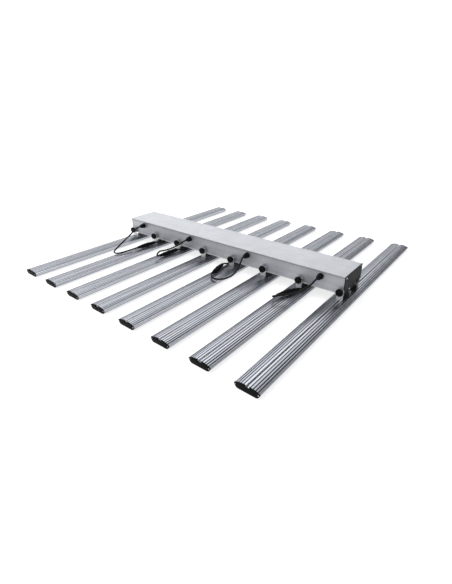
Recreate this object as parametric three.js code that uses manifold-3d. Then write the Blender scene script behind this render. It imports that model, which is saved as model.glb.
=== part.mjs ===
// An eight-bar LED grow light: extruded light bars hung under one long driver housing.
// Millimetres, +Z up. The bars run along Y and the housing along X. The origin is on the floor that the
// bars lie on, at the middle of the light.
import * as THREE from "three";
import { mergeVertices } from "three/addons/utils/BufferGeometryUtils.js";
import Module from "manifold-3d";

const wasm = await Module();
wasm.setup();

// ---- Driving dimensions ----

const GAP = 0.3; // air between pieces that touch on the real light
const WELD = 0.05; // how far the boxes of one joined piece run into each other

const BAR_COUNT = 8;
const BAR_PITCH = 140;
const BAR_LENGTH = 1100; // over both end caps
const BAR_HALF_WIDTH = 35;
const BAR_HEIGHT = 20;
const DOME_EDGE_X = 33; // where the domed top meets the rounded side
const DOME_EDGE_Z = 14;
const DOME_POWER = 2.6;
const CAP_THICKNESS = 2.6;
const CAP_NOTCH = { halfWidth: 6.2, floorZ: 15 }; // where the cap is open over the T-slot

const SLOT = { halfMouth: 2.8, halfWidth: 5.6, lipZ: 17.6, floorZ: 13.6 };
const GROOVES = [
  { x: 9, width: 3, depth: 1.8 },
  { x: 16.5, width: 2.8, depth: 2.2 },
  { x: 23, width: 3.2, depth: 3 },
  { x: 29, width: 3.2, depth: 3 },
];
const BOARD = { width: 40, thickness: 1.6, bottomZ: 0.9, length: 1070 };
const BOARD_RECESS = { halfWidth: 20.4, ceilingZ: 2.8 };

const HOUSING_LENGTH = 1000;
const HOUSING_HALF_DEPTH = 66.5;
const HOUSING_TOP_Z = 100;
const CHASSIS_BOTTOM_Z = 40;
const CHASSIS_THICKNESS = 3;
const CHASSIS_LIP = 1.7; // how far the chassis plate stands out in front of the cover
const WALL = 2;
const END_PLATE_THICKNESS = 2.5;

const TAB = { width: 20, thickness: 3, topZ: 57 };
const SADDLE = { width: 34, depth: 16, y: 30, keyWidth: 4.8, keyBottomZ: 14.8 };

const KNOB = { radius: 12.3, lobes: 12, lobeDepth: 1.1, thickness: 11, z: 49.5 };
const SHANK_RADIUS = 3;
const SCREW_HOLE_RADIUS = 3.4;
const SHANK_TIP_Y = -58;

const GLAND_X = [-420, -140, 140, 420];
const GLAND_Z = 81;
const GLAND = { hexRadius: 11, hexThickness: 5, stubRadius: 7.6, holeRadius: 8, reach: 19.2 };
const MAINS_GLAND = { y: 28, z: 72 };

const DRIVER = { halfDepth: 44, topZ: 84, chamfer: 5, nearX: 60, farX: 470 };
const TERMINAL = { halfLength: 32, y0: 8, y1: 34, step: 6, height: 12, upperHeight: 8 };

const CORD_RADIUS = 3;
const CORD_SIDES = 8;
const CORD_STEP = 12;
const CONNECTOR = { length: 86, bore: CORD_RADIUS + 0.5 };

// ---- Lead cords: hand-chosen points, from the gland to the bar. ----
// Each lead leaves its gland forwards, drops onto a bar, turns back and runs straight through its
// connector. Its tail passes under the housing and bends down into the bar's top.

const STRAIGHT = 5; // how far a cord runs straight on past each end of its connector

const LEADS = [
  {
    bar: 2,
    side: 1,
    out: [
      [-420, -86.1, 81], [-420, -93, 81], [-419.6, -104, 80], [-417, -120, 75.5], [-413, -138, 69],
      [-410.6, -157.2, 60.9], [-408.7, -178.5, 51.7], [-406.7, -201.9, 41.6], [-402.7, -225.3, 32.9],
      [-396.1, -244.7, 27.3], [-386, -257.3, 24.8], [-373.5, -260.8, 24.3], [-362.4, -254.8, 24.6],
      [-354.4, -239.7, 25.7], [-347.9, -217.6, 27.4], [-343.4, -196.5, 28.8],
    ],
    connector: [[-339.4, -172.4, 29.7], [-331.8, -87.1, 28.7]],
    back: [[-328.1, -67.6, 25.3], [-325.7, -57.4, 22.1]],
  },
  {
    bar: 3,
    side: 1,
    out: [
      [-140, -86.1, 81], [-140, -92.5, 81], [-141.5, -101.5, 78.9], [-145.5, -112, 74.3],
      [-151.5, -123, 68.6], [-159.6, -134, 62.4], [-168.2, -145, 57.4], [-176.8, -155.6, 53.9],
      [-184.9, -166.7, 51.8], [-190.8, -180.8, 51.8], [-192, -187, 50.4], [-194.3, -191.6, 46.3],
      [-197.2, -193.1, 40.8], [-199.9, -191.3, 35.2], [-201.5, -186.7, 31],
    ],
    connector: [[-201.5, -175.4, 29.4], [-195.5, -90.1, 28.4]],
    back: [[-191.1, -70.6, 25.6], [-186.6, -59.4, 22.2]],
  },
  {
    bar: 5,
    side: -1,
    out: [
      [140, -86.1, 81], [140, -92.5, 81], [142, -101.5, 78.9], [146, -114, 71.5], [147.5, -124, 63],
      [147, -133, 53], [143.3, -140.5, 42.2], [138, -149.1, 33.4], [130.8, -160.3, 27.6],
      [121.1, -175.4, 24.1], [109, -188, 23.4], [94.9, -194.5, 24.4], [82.9, -194, 26.4],
    ],
    connector: [[67.8, -173.4, 29.7], [45.2, -90.1, 28.8]],
    back: [[43.4, -71.6, 24.8], [44.5, -59.4, 21.6]],
  },
  {
    bar: 7,
    side: 1,
    out: [
      [420, -86.1, 81], [420, -92.5, 81], [418.4, -101.5, 78.6], [415.5, -110.5, 72.5],
      [410, -121.5, 64.8], [401, -136, 56.8], [388.5, -152.1, 50.4], [373.5, -167.7, 45.6],
      [360, -178.3, 43], [348.2, -189.2, 42.8], [344.4, -194.4, 41.9], [338.9, -197.1, 39.5],
      [333.3, -196.5, 36.3], [329, -192.9, 33], [327.2, -187, 30.7], [328.3, -180.7, 29.8],
    ],
    connector: [[331.9, -172.4, 29.8], [365.5, -94.1, 29.8]],
    back: [[372.4, -76.6, 27.2], [375.3, -60.9, 22.2]],
  },
];

// The stretch that every tail shares: distance from the bar's middle, y and z.
const TAIL = [
  [25, -47, 20.5], [25, -36, 21.1], [24.4, -26, 22.8], [22.3, -17, 25.8],
  [18.8, -9, 29.2], [15.4, -1.5, 32.2], [13.5, 4.6, 33.4], [13, 9.3, 32.5],
  [13, 13.3, 29.8], [13, 16, 25.8], [13, 16.9, 21.2], [13, 16.95, 20.4],
];

// ---- Solids ----

function toSolid(geometry) {
  const plain = geometry.clone();
  plain.deleteAttribute("normal");
  plain.deleteAttribute("uv");
  const merged = mergeVertices(plain, 1e-4);
  return new wasm.Manifold(
    new wasm.Mesh({
      numProp: 3,
      vertProperties: merged.attributes.position.array,
      triVerts: new Uint32Array(merged.index.array),
    }),
  );
}

function toGeometry(solid) {
  const mesh = solid.getMesh();
  const geometry = new THREE.BufferGeometry();
  geometry.setAttribute("position", new THREE.BufferAttribute(new Float32Array(mesh.vertProperties), 3));
  geometry.setIndex(new THREE.BufferAttribute(new Uint32Array(mesh.triVerts), 1));
  geometry.computeVertexNormals();
  return geometry;
}

const joined = (geometries) => toGeometry(geometries.map(toSolid).reduce((all, one) => all.add(one)));

const cutBy = (geometry, cutters) =>
  toGeometry(cutters.map(toSolid).reduce((rest, cutter) => rest.subtract(cutter), toSolid(geometry)));

// A box from its lowest to its highest corner.
function box(low, high) {
  const size = high.map((v, i) => v - low[i]);
  const middle = high.map((v, i) => (v + low[i]) / 2);
  return new THREE.BoxGeometry(...size).translate(...middle);
}

// A cylinder along Y from y0 to y1.
function cylinderY(radius, y0, y1, x, z, sides = 12) {
  return new THREE.CylinderGeometry(radius, radius, y1 - y0, sides).translate(x, (y0 + y1) / 2, z);
}

// Extrudes an outline in the XZ plane along +Y from y0 to y1.
function extrudeY(shape, y0, y1) {
  const settings = { depth: y1 - y0, bevelEnabled: false, steps: 1 };
  return new THREE.ExtrudeGeometry(shape, settings).rotateX(Math.PI / 2).translate(0, y1, 0);
}

// Extrudes an outline given as [y, z] points along X from x0 to x1.
function extrudeX(points, x0, x1) {
  const shape = new THREE.Shape(points.map(([y, z]) => new THREE.Vector2(y, z)));
  const settings = { depth: x1 - x0, bevelEnabled: false, steps: 1 };
  const turn = new THREE.Matrix4().makeBasis(
    new THREE.Vector3(0, 1, 0),
    new THREE.Vector3(0, 0, 1),
    new THREE.Vector3(1, 0, 0),
  );
  return new THREE.ExtrudeGeometry(shape, settings).applyMatrix4(turn).translate(x0, 0, 0);
}

const mirroredOutline = (right) => [...right, ...right.map(([x, z]) => [-x, z]).reverse()];

const shapeOf = (points) => new THREE.Shape(points.map(([x, z]) => new THREE.Vector2(x, z)));

// ---- Bars ----

const barX = (index) => (index - (BAR_COUNT + 1) / 2) * BAR_PITCH;

const domeZ = (x) =>
  BAR_HEIGHT - (BAR_HEIGHT - DOME_EDGE_Z) * Math.pow(Math.abs(x) / DOME_EDGE_X, DOME_POWER);

// The rounded side below the dome, from the flat underside up to the widest line and over it.
const SIDE = [
  [24.5, 0],
  [28.2, 1.4],
  [31.5, 4.3],
  [33.8, 7.9],
  [BAR_HALF_WIDTH, 11.9],
  [34.5, 13.2],
  [DOME_EDGE_X, DOME_EDGE_Z],
];

function groovedTop() {
  const points = [];
  for (const groove of [...GROOVES].reverse()) {
    const near = groove.x - groove.width / 2;
    const far = groove.x + groove.width / 2;
    const floor = domeZ(groove.x) - groove.depth;
    points.push([far, domeZ(far)], [far - 0.4, floor], [near + 0.4, floor], [near, domeZ(near)]);
  }
  return points;
}

function heatSinkOutline() {
  const slot = [
    [SLOT.halfMouth, domeZ(SLOT.halfMouth)],
    [SLOT.halfMouth, SLOT.lipZ],
    [SLOT.halfWidth, SLOT.lipZ],
    [SLOT.halfWidth, SLOT.floorZ],
  ];
  const recess = [
    [BOARD_RECESS.halfWidth, BOARD_RECESS.ceilingZ],
    [BOARD_RECESS.halfWidth, 0],
  ];
  return mirroredOutline([...recess, ...SIDE, ...groovedTop(), ...slot]);
}

// The two air channels that lighten the extrusion, either side of a central web.
function airChannel(side) {
  const points = [
    [1.1, 5],
    [27.5, 4.6],
    [30.8, 7.4],
    [31.4, 9.6],
    [26.5, 9.9],
    [20, 11.9],
    [14, 14],
    [7.7, 15.3],
    [7.7, 11.4],
    [1.1, 11],
  ];
  return new THREE.Path(points.map(([x, z]) => new THREE.Vector2(side * x, z)));
}

function heatSink() {
  const shape = shapeOf(heatSinkOutline());
  shape.holes.push(airChannel(1), airChannel(-1));
  const half = BAR_LENGTH / 2 - CAP_THICKNESS - GAP;
  return extrudeY(shape, -half, half);
}

// A flat cap over the bar's end, open over the T-slot's mouth.
function endCap(end) {
  const crown = [28, 21, 13].map((x) => [x, domeZ(x)]);
  const notch = [
    [CAP_NOTCH.halfWidth, domeZ(CAP_NOTCH.halfWidth)],
    [CAP_NOTCH.halfWidth, CAP_NOTCH.floorZ],
  ];
  const outer = BAR_LENGTH / 2;
  const [y0, y1] = end > 0 ? [outer - CAP_THICKNESS, outer] : [-outer, -outer + CAP_THICKNESS];
  return extrudeY(shapeOf(mirroredOutline([...SIDE, ...crown, ...notch])), y0, y1);
}

function ledBoard() {
  const half = BOARD.length / 2;
  const top = BOARD.bottomZ + BOARD.thickness;
  return box([-BOARD.width / 2, -half, BOARD.bottomZ], [BOARD.width / 2, half, top]);
}

// ---- Housing ----

const FRONT_Y = -HOUSING_HALF_DEPTH;
const CHASSIS_TOP_Z = CHASSIS_BOTTOM_Z + CHASSIS_THICKNESS;
const COVER_HALF_LENGTH = HOUSING_LENGTH / 2 - END_PLATE_THICKNESS - GAP;

const screwHole = (x) =>
  cylinderY(SCREW_HOLE_RADIUS, FRONT_Y - TAB.thickness - 2, FRONT_Y + WALL + 2, x, KNOB.z);

// An inverted channel: top, front and back walls, with a shadow line below each top edge.
function housingCover() {
  const low = CHASSIS_TOP_Z + GAP;
  const line = { top: HOUSING_TOP_Z - 4.6, height: 1.4, depth: 0.6 };
  const corner = 0.9;
  const right = [
    [HOUSING_HALF_DEPTH - WALL, HOUSING_TOP_Z - WALL],
    [HOUSING_HALF_DEPTH - WALL, low],
    [HOUSING_HALF_DEPTH, low],
    [HOUSING_HALF_DEPTH, line.top - line.height],
    [HOUSING_HALF_DEPTH - line.depth, line.top - line.height],
    [HOUSING_HALF_DEPTH - line.depth, line.top],
    [HOUSING_HALF_DEPTH, line.top],
    [HOUSING_HALF_DEPTH, HOUSING_TOP_Z - corner],
    [HOUSING_HALF_DEPTH - corner * 0.3, HOUSING_TOP_Z - corner * 0.3],
    [HOUSING_HALF_DEPTH - corner, HOUSING_TOP_Z],
  ];
  const channel = extrudeX(mirroredOutline(right), -COVER_HALF_LENGTH, COVER_HALF_LENGTH);
  const [hole0, hole1] = [FRONT_Y - 2, FRONT_Y + WALL + 2];
  const glandHoles = GLAND_X.map((x) => cylinderY(GLAND.holeRadius, hole0, hole1, x, GLAND_Z));
  const screwHoles = barNumbers.map((n) => screwHole(barX(n)));
  return cutBy(channel, [...glandHoles, ...screwHoles]);
}

// The plate that closes the housing below. A tab in front of each bar takes the thumbscrew and stands on
// the bar, and two saddles behind it are keyed into the bar's T-slot.
function baseChassis() {
  const tabFront = FRONT_Y - GAP - TAB.thickness;
  const saddleBottom = BAR_HEIGHT + GAP;
  const plateLow = [-COVER_HALF_LENGTH, FRONT_Y - CHASSIS_LIP, CHASSIS_BOTTOM_Z];
  const plateHigh = [COVER_HALF_LENGTH, HOUSING_HALF_DEPTH, CHASSIS_TOP_Z];
  const pieces = [box(plateLow, plateHigh)];
  for (const n of barNumbers) {
    const x = barX(n);
    const halfTab = TAB.width / 2;
    pieces.push(box([x - halfTab, tabFront, saddleBottom], [x + halfTab, FRONT_Y - GAP, TAB.topZ]));
    for (const y of [-SADDLE.y, SADDLE.y]) {
      const [y0, y1] = [y - SADDLE.depth / 2, y + SADDLE.depth / 2];
      const [half, key] = [SADDLE.width / 2, SADDLE.keyWidth / 2];
      pieces.push(box([x - half, y0, saddleBottom], [x + half, y1, CHASSIS_BOTTOM_Z + WELD]));
      pieces.push(box([x - key, y0 + 1, SADDLE.keyBottomZ], [x + key, y1 - 1, saddleBottom + WELD]));
    }
  }
  return cutBy(joined(pieces), barNumbers.map((n) => screwHole(barX(n))));
}

function endPlate(side) {
  const [x0, x1] = side > 0 ? [-END_PLATE_THICKNESS, 0] : [0, END_PLATE_THICKNESS];
  const low = [side * (HOUSING_LENGTH / 2) + x0, -HOUSING_HALF_DEPTH, CHASSIS_BOTTOM_Z + WELD + GAP];
  const high = [side * (HOUSING_LENGTH / 2) + x1, HOUSING_HALF_DEPTH, HOUSING_TOP_Z];
  const plate = box(low, high);
  if (side > 0) return plate;
  const hole = cylinderY(GLAND.holeRadius, -10, 10, 0, 0).rotateZ(Math.PI / 2);
  return cutBy(plate, [hole.translate(-HOUSING_LENGTH / 2, MAINS_GLAND.y, MAINS_GLAND.z)]);
}

// A potted driver: a flat box with chamfered long edges.
function ledDriver(side) {
  const { halfDepth: half, topZ: high, chamfer, nearX, farX } = DRIVER;
  const low = CHASSIS_TOP_Z + GAP;
  const outline = [
    [-half, low],
    [half, low],
    [half, high - chamfer],
    [half - chamfer, high],
    [chamfer - half, high],
    [-half, high - chamfer],
  ];
  return side > 0 ? extrudeX(outline, nearX, farX) : extrudeX(outline, -farX, -nearX);
}

// A stepped terminal strip between the two drivers.
function terminalBlock() {
  const { halfLength: half, y0, y1, step, height, upperHeight } = TERMINAL;
  const low = CHASSIS_TOP_Z + GAP;
  const middle = low + height;
  return joined([
    box([-half, y0, low], [half, y1, middle]),
    box([-half, y0 + step, middle - WELD], [half, y1 - step, middle + upperHeight]),
  ]);
}

// ---- Thumbscrews and glands ----

// The grip's outline swings between a crest and a dip at every half lobe.
function thumbKnob() {
  const points = [];
  const count = KNOB.lobes * 2;
  for (let i = 0; i < count; i++) {
    const angle = (2 * Math.PI * i) / count;
    const radius = i % 2 ? KNOB.radius - KNOB.lobeDepth : KNOB.radius;
    points.push([radius * Math.cos(angle), radius * Math.sin(angle)]);
  }
  const back = FRONT_Y - GAP - TAB.thickness - GAP;
  const grip = extrudeY(shapeOf(points), back - KNOB.thickness, back);
  return joined([grip, cylinderY(SHANK_RADIUS, back - 2, SHANK_TIP_Y, 0, 0)]);
}

// A cable gland pointing along -Y from a wall whose outer face is at y = 0. It is turned as one solid:
// locknut and thread inside, hexagon flange against the wall, domed clamping nut outside.
function cableGland() {
  const r = GLAND;
  const flangeEnd = -GAP - r.hexThickness;
  const turned = [
    [0, -r.reach],
    [4.6, -r.reach],
    [7.2, -r.reach + 2],
    [8.6, -r.reach + 6],
    [8.8, flangeEnd - 1],
    [r.stubRadius, flangeEnd + 1],
    [r.stubRadius, 8],
    [0, 8],
  ];
  const body = new THREE.LatheGeometry(turned.map(([x, y]) => new THREE.Vector2(x, y)), 12);
  const flange = new THREE.CylinderGeometry(r.hexRadius, r.hexRadius, r.hexThickness, 6);
  const locknut = new THREE.CylinderGeometry(10.5, 10.5, 3, 6);
  flange.translate(0, -GAP - r.hexThickness / 2, 0);
  locknut.translate(0, END_PLATE_THICKNESS + GAP + 1.5, 0);
  return joined([body, flange, locknut]);
}

// ---- Leads ----

const vector = (point) => new THREE.Vector3(...point);

// The whole route as one smooth curve. The points on the connector's axis keep it straight in there.
function leadCurve(lead) {
  const [start, end] = lead.connector.map(vector);
  const reach = STRAIGHT / start.distanceTo(end);
  const straight = [-reach, 0, 0.25, 0.5, 0.75, 1, 1 + reach].map((t) => start.clone().lerp(end, t));
  const tail = TAIL.map(([x, y, z]) => new THREE.Vector3(barX(lead.bar) + lead.side * x, y, z));
  const points = [...lead.out.map(vector), ...straight, ...lead.back.map(vector), ...tail];
  return new THREE.CatmullRomCurve3(points, false, "centripetal");
}

function leadCord(lead) {
  const section = new THREE.Shape();
  for (let i = 0; i < CORD_SIDES; i++) {
    const angle = (2 * Math.PI * (i + 0.5)) / CORD_SIDES;
    const [x, y] = [CORD_RADIUS * Math.cos(angle), CORD_RADIUS * Math.sin(angle)];
    if (i === 0) section.moveTo(x, y);
    else section.lineTo(x, y);
  }
  section.closePath();
  const path = leadCurve(lead);
  const steps = Math.ceil(path.getLength() / CORD_STEP);
  return new THREE.ExtrudeGeometry(section, { steps, bevelEnabled: false, extrudePath: path });
}

// A sleeve round the cord: two tapered strain reliefs and a coupling ring between two bodies.
function leadConnector() {
  const half = CONNECTOR.length / 2;
  const profile = [
    [CONNECTOR.bore, -half],
    [4.6, -half],
    [6.4, -half + 16],
    [7.6, -half + 20],
    [7.6, -5],
    [8.6, -4],
    [8.6, 9],
    [7.4, 10],
    [7.4, half - 20],
    [6.2, half - 16],
    [4.6, half],
    [CONNECTOR.bore, half],
    [CONNECTOR.bore, -half],
  ];
  return new THREE.LatheGeometry(profile.map(([x, y]) => new THREE.Vector2(x, y)), 12);
}

// ---- Materials ----

const finish = (color, roughness, metalness) =>
  new THREE.MeshStandardMaterial({ color, roughness, metalness });

const ALUMINIUM = () => finish(0xb4b8c0, 0.38, 0.9);
const HOUSING_ALUMINIUM = () => finish(0xc9ccd2, 0.45, 0.8);
const BLACK_PAINT = () => finish(0x2b2f33, 0.5, 0.3);
const BLACK_PLASTIC = () => finish(0x15181a, 0.55, 0);
const CABLE_JACKET = () => finish(0x1d2022, 0.6, 0);
const WHITE_BOARD = () => finish(0xeef0ee, 0.4, 0);
const DRIVER_CASE = () => finish(0x8d9196, 0.5, 0.7);
const CREAM_PLASTIC = () => finish(0xd8d2bc, 0.5, 0);

// ---- Assembly ----

const barNumbers = Array.from({ length: BAR_COUNT }, (_, i) => i + 1);
const light = new THREE.Group();

function add(parent, name, geometry, material) {
  const mesh = new THREE.Mesh(geometry, material);
  mesh.name = name;
  parent.add(mesh);
  return mesh;
}

for (const n of barNumbers) {
  const bar = new THREE.Group();
  bar.position.x = barX(n);
  light.add(bar);
  add(bar, `heat_sink_${n}`, heatSink(), ALUMINIUM());
  add(bar, `led_board_${n}`, ledBoard(), WHITE_BOARD());
  add(bar, `end_cap_front_${n}`, endCap(-1), BLACK_PLASTIC());
  add(bar, `end_cap_rear_${n}`, endCap(1), BLACK_PLASTIC());
  add(bar, `thumb_knob_${n}`, thumbKnob(), BLACK_PLASTIC()).position.z = KNOB.z;
}

add(light, "base_chassis", baseChassis(), ALUMINIUM());
add(light, "housing_cover", housingCover(), HOUSING_ALUMINIUM());
add(light, "end_plate_left", endPlate(-1), BLACK_PAINT());
add(light, "end_plate_right", endPlate(1), BLACK_PAINT());
add(light, "led_driver_left", ledDriver(-1), DRIVER_CASE());
add(light, "led_driver_right", ledDriver(1), DRIVER_CASE());
add(light, "terminal_block", terminalBlock(), CREAM_PLASTIC());

const mainsGland = add(light, "mains_gland", cableGland(), BLACK_PLASTIC());
mainsGland.rotation.z = -Math.PI / 2;
mainsGland.position.set(-HOUSING_LENGTH / 2, MAINS_GLAND.y, MAINS_GLAND.z);

LEADS.forEach((lead, i) => {
  const n = i + 1;
  const gland = add(light, `output_gland_${n}`, cableGland(), BLACK_PLASTIC());
  gland.position.set(GLAND_X[i], FRONT_Y, GLAND_Z);
  add(light, `lead_cord_${n}`, leadCord(lead), CABLE_JACKET());
  const [start, end] = lead.connector.map(vector);
  const connector = add(light, `lead_connector_${n}`, leadConnector(), BLACK_PLASTIC());
  connector.position.copy(start).lerp(end, 0.5);
  connector.quaternion.setFromUnitVectors(new THREE.Vector3(0, 1, 0), end.clone().sub(start).normalize());
});

export default light;
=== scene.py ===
import math

import bmesh
import bpy
from mathutils import Matrix, Vector
from mathutils.geometry import tessellate_polygon


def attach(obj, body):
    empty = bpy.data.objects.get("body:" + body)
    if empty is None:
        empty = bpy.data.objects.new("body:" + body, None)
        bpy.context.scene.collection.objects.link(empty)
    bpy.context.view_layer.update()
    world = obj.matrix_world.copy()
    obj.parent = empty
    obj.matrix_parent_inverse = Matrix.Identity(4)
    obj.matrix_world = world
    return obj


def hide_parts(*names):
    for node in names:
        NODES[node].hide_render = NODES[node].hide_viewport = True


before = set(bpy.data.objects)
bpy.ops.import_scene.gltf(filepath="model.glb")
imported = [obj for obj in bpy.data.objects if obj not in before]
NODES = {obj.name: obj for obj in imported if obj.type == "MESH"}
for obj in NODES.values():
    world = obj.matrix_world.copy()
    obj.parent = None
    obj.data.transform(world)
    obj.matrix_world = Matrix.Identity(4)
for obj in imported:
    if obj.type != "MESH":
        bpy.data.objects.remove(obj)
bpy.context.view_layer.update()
MM = 0.001

# Lengths are written in millimetres, as in the CAD source, and scaled to metres where a mesh is made.

BAR_COUNT = 8
BAR_PITCH = 140
BAR_LENGTH = 1100
BAR_HEIGHT = 20
CAP_THICKNESS = 2.6
GAP = 0.3
FRONT_Y = -66.5
HOUSING_HALF_LENGTH = 500
END_PLATE_THICKNESS = 2.5
KNOB_Z = 49.5
KNOB_BACK_Y = -70.1
GLAND_X = [-420, -140, 140, 420]
GLAND_Z = 81
GLAND_REACH = 19.2
MAINS_GLAND = (-HOUSING_HALF_LENGTH, 28, 72)
CORD_DIAMETER = 6

FRAME_BODY = "frame"


def bar_x(number):
    """The middle of a bar. The bars are counted from 1, from the left."""
    return (number - (BAR_COUNT + 1) / 2) * BAR_PITCH


# ---- Camera ----

CAMERA_PLACE = (833.8, -1038.0, 567.4)
CAMERA_AZIMUTH = math.radians(39.2174)
CAMERA_ELEVATION = math.radians(27.9854)
CAMERA_ROLL = math.radians(-0.5415)
CAMERA_LENS = 22.347


def make_camera():
    """The camera, turned by its azimuth, elevation and roll."""
    a, e, r = CAMERA_AZIMUTH, CAMERA_ELEVATION, CAMERA_ROLL
    back = Vector((math.sin(a) * math.cos(e), -math.cos(a) * math.cos(e), math.sin(e)))
    level = Vector((math.cos(a), math.sin(a), 0))
    upright = back.cross(level)
    right = level * math.cos(r) + upright * math.sin(r)
    up = upright * math.cos(r) - level * math.sin(r)
    data = bpy.data.cameras.new("camera")
    data.lens = CAMERA_LENS
    data.sensor_width = 36
    camera = bpy.data.objects.new("camera", data)
    bpy.context.scene.collection.objects.link(camera)
    turn = Matrix((right, up, back)).transposed().to_4x4()
    camera.matrix_world = Matrix.Translation(Vector(CAMERA_PLACE) * MM) @ turn
    bpy.context.scene.camera = camera


make_camera()

# ---- Routes of the lead cords: the same points as in the CAD source ----

STRAIGHT = 5

LEADS = [
    {
        "bar": 2,
        "side": 1,
        "out": [
            (-420, -86.1, 81), (-420, -93, 81), (-419.6, -104, 80), (-417, -120, 75.5),
            (-413, -138, 69), (-410.6, -157.2, 60.9), (-408.7, -178.5, 51.7),
            (-406.7, -201.9, 41.6), (-402.7, -225.3, 32.9), (-396.1, -244.7, 27.3),
            (-386, -257.3, 24.8), (-373.5, -260.8, 24.3), (-362.4, -254.8, 24.6),
            (-354.4, -239.7, 25.7), (-347.9, -217.6, 27.4), (-343.4, -196.5, 28.8),
        ],
        "connector": [(-339.4, -172.4, 29.7), (-331.8, -87.1, 28.7)],
        "back": [(-328.1, -67.6, 25.3), (-325.7, -57.4, 22.1)],
    },
    {
        "bar": 3,
        "side": 1,
        "out": [
            (-140, -86.1, 81), (-140, -92.5, 81), (-141.5, -101.5, 78.9), (-145.5, -112, 74.3),
            (-151.5, -123, 68.6), (-159.6, -134, 62.4), (-168.2, -145, 57.4),
            (-176.8, -155.6, 53.9), (-184.9, -166.7, 51.8), (-190.8, -180.8, 51.8),
            (-192, -187, 50.4), (-194.3, -191.6, 46.3), (-197.2, -193.1, 40.8),
            (-199.9, -191.3, 35.2), (-201.5, -186.7, 31),
        ],
        "connector": [(-201.5, -175.4, 29.4), (-195.5, -90.1, 28.4)],
        "back": [(-191.1, -70.6, 25.6), (-186.6, -59.4, 22.2)],
    },
    {
        "bar": 5,
        "side": -1,
        "out": [
            (140, -86.1, 81), (140, -92.5, 81), (142, -101.5, 78.9), (146, -114, 71.5),
            (147.5, -124, 63), (147, -133, 53), (143.3, -140.5, 42.2), (138, -149.1, 33.4),
            (130.8, -160.3, 27.6), (121.1, -175.4, 24.1), (109, -188, 23.4), (94.9, -194.5, 24.4),
            (82.9, -194, 26.4),
        ],
        "connector": [(67.8, -173.4, 29.7), (45.2, -90.1, 28.8)],
        "back": [(43.4, -71.6, 24.8), (44.5, -59.4, 21.6)],
    },
    {
        "bar": 7,
        "side": 1,
        "out": [
            (420, -86.1, 81), (420, -92.5, 81), (418.4, -101.5, 78.6), (415.5, -110.5, 72.5),
            (410, -121.5, 64.8), (401, -136, 56.8), (388.5, -152.1, 50.4), (373.5, -167.7, 45.6),
            (360, -178.3, 43), (348.2, -189.2, 42.8), (344.4, -194.4, 41.9), (338.9, -197.1, 39.5),
            (333.3, -196.5, 36.3), (329, -192.9, 33), (327.2, -187, 30.7), (328.3, -180.7, 29.8),
        ],
        "connector": [(331.9, -172.4, 29.8), (365.5, -94.1, 29.8)],
        "back": [(372.4, -76.6, 27.2), (375.3, -60.9, 22.2)],
    },
]

# The stretch that every tail shares: distance from the bar's middle, y and z.
TAIL = [
    (25, -47, 20.5), (25, -36, 21.1), (24.4, -26, 22.8), (22.3, -17, 25.8),
    (18.8, -9, 29.2), (15.4, -1.5, 32.2), (13.5, 4.6, 33.4), (13, 9.3, 32.5),
    (13, 13.3, 29.8), (13, 16, 25.8), (13, 16.9, 21.2), (13, 16.95, 20.4),
]


def lead_points(lead):
    """A lead's whole route, from its gland through its connector and down into its bar."""
    start, end = (Vector(p) for p in lead["connector"])
    reach = STRAIGHT / (end - start).length
    straight = [start.lerp(end, t) for t in (-reach, 0, 0.25, 0.5, 0.75, 1, 1 + reach)]
    middle = bar_x(lead["bar"])
    tail = [Vector((middle + lead["side"] * x, y, z)) for x, y, z in TAIL]
    return [Vector(p) for p in lead["out"]] + straight + [Vector(p) for p in lead["back"]] + tail


def centripetal(points, per_segment=8):
    """A centripetal Catmull-Rom curve through the points, mirrored past its two ends."""
    padded = [2 * points[0] - points[1], *points, 2 * points[-1] - points[-2]]
    out = []
    for p0, p1, p2, p3 in zip(padded, padded[1:], padded[2:], padded[3:]):
        t0 = 0.0
        t1 = t0 + math.sqrt((p1 - p0).length)
        t2 = t1 + math.sqrt((p2 - p1).length)
        t3 = t2 + math.sqrt((p3 - p2).length)
        for step in range(per_segment):
            t = t1 + (t2 - t1) * step / per_segment
            a1 = p0.lerp(p1, (t - t0) / (t1 - t0))
            a2 = p1.lerp(p2, (t - t1) / (t2 - t1))
            a3 = p2.lerp(p3, (t - t2) / (t3 - t2))
            b1 = a1.lerp(a2, (t - t0) / (t2 - t0))
            b2 = a2.lerp(a3, (t - t1) / (t3 - t1))
            out.append(b1.lerp(b2, (t - t1) / (t2 - t1)))
    out.append(points[-1].copy())
    return out


# ---- Materials ----


def mapped(tree, value, spans, smooth=False):
    """A map range node. Spans holds the two ends it reads and the two ends it gives."""
    node = tree.nodes.new("ShaderNodeMapRange")
    node.interpolation_type = "SMOOTHSTEP" if smooth else "LINEAR"
    for socket, number in zip(("From Min", "From Max", "To Min", "To Max"), spans):
        node.inputs[socket].default_value = number
    tree.links.new(value, node.inputs["Value"])
    return node.outputs["Result"]


def calculated(tree, operation, a, b):
    """A math node on two values, each of them a number or another node's output."""
    node = tree.nodes.new("ShaderNodeMath")
    node.operation = operation
    for socket, value in zip(node.inputs, (a, b)):
        if isinstance(value, (int, float)):
            socket.default_value = value
        else:
            tree.links.new(value, socket)
    return node.outputs["Value"]


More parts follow.
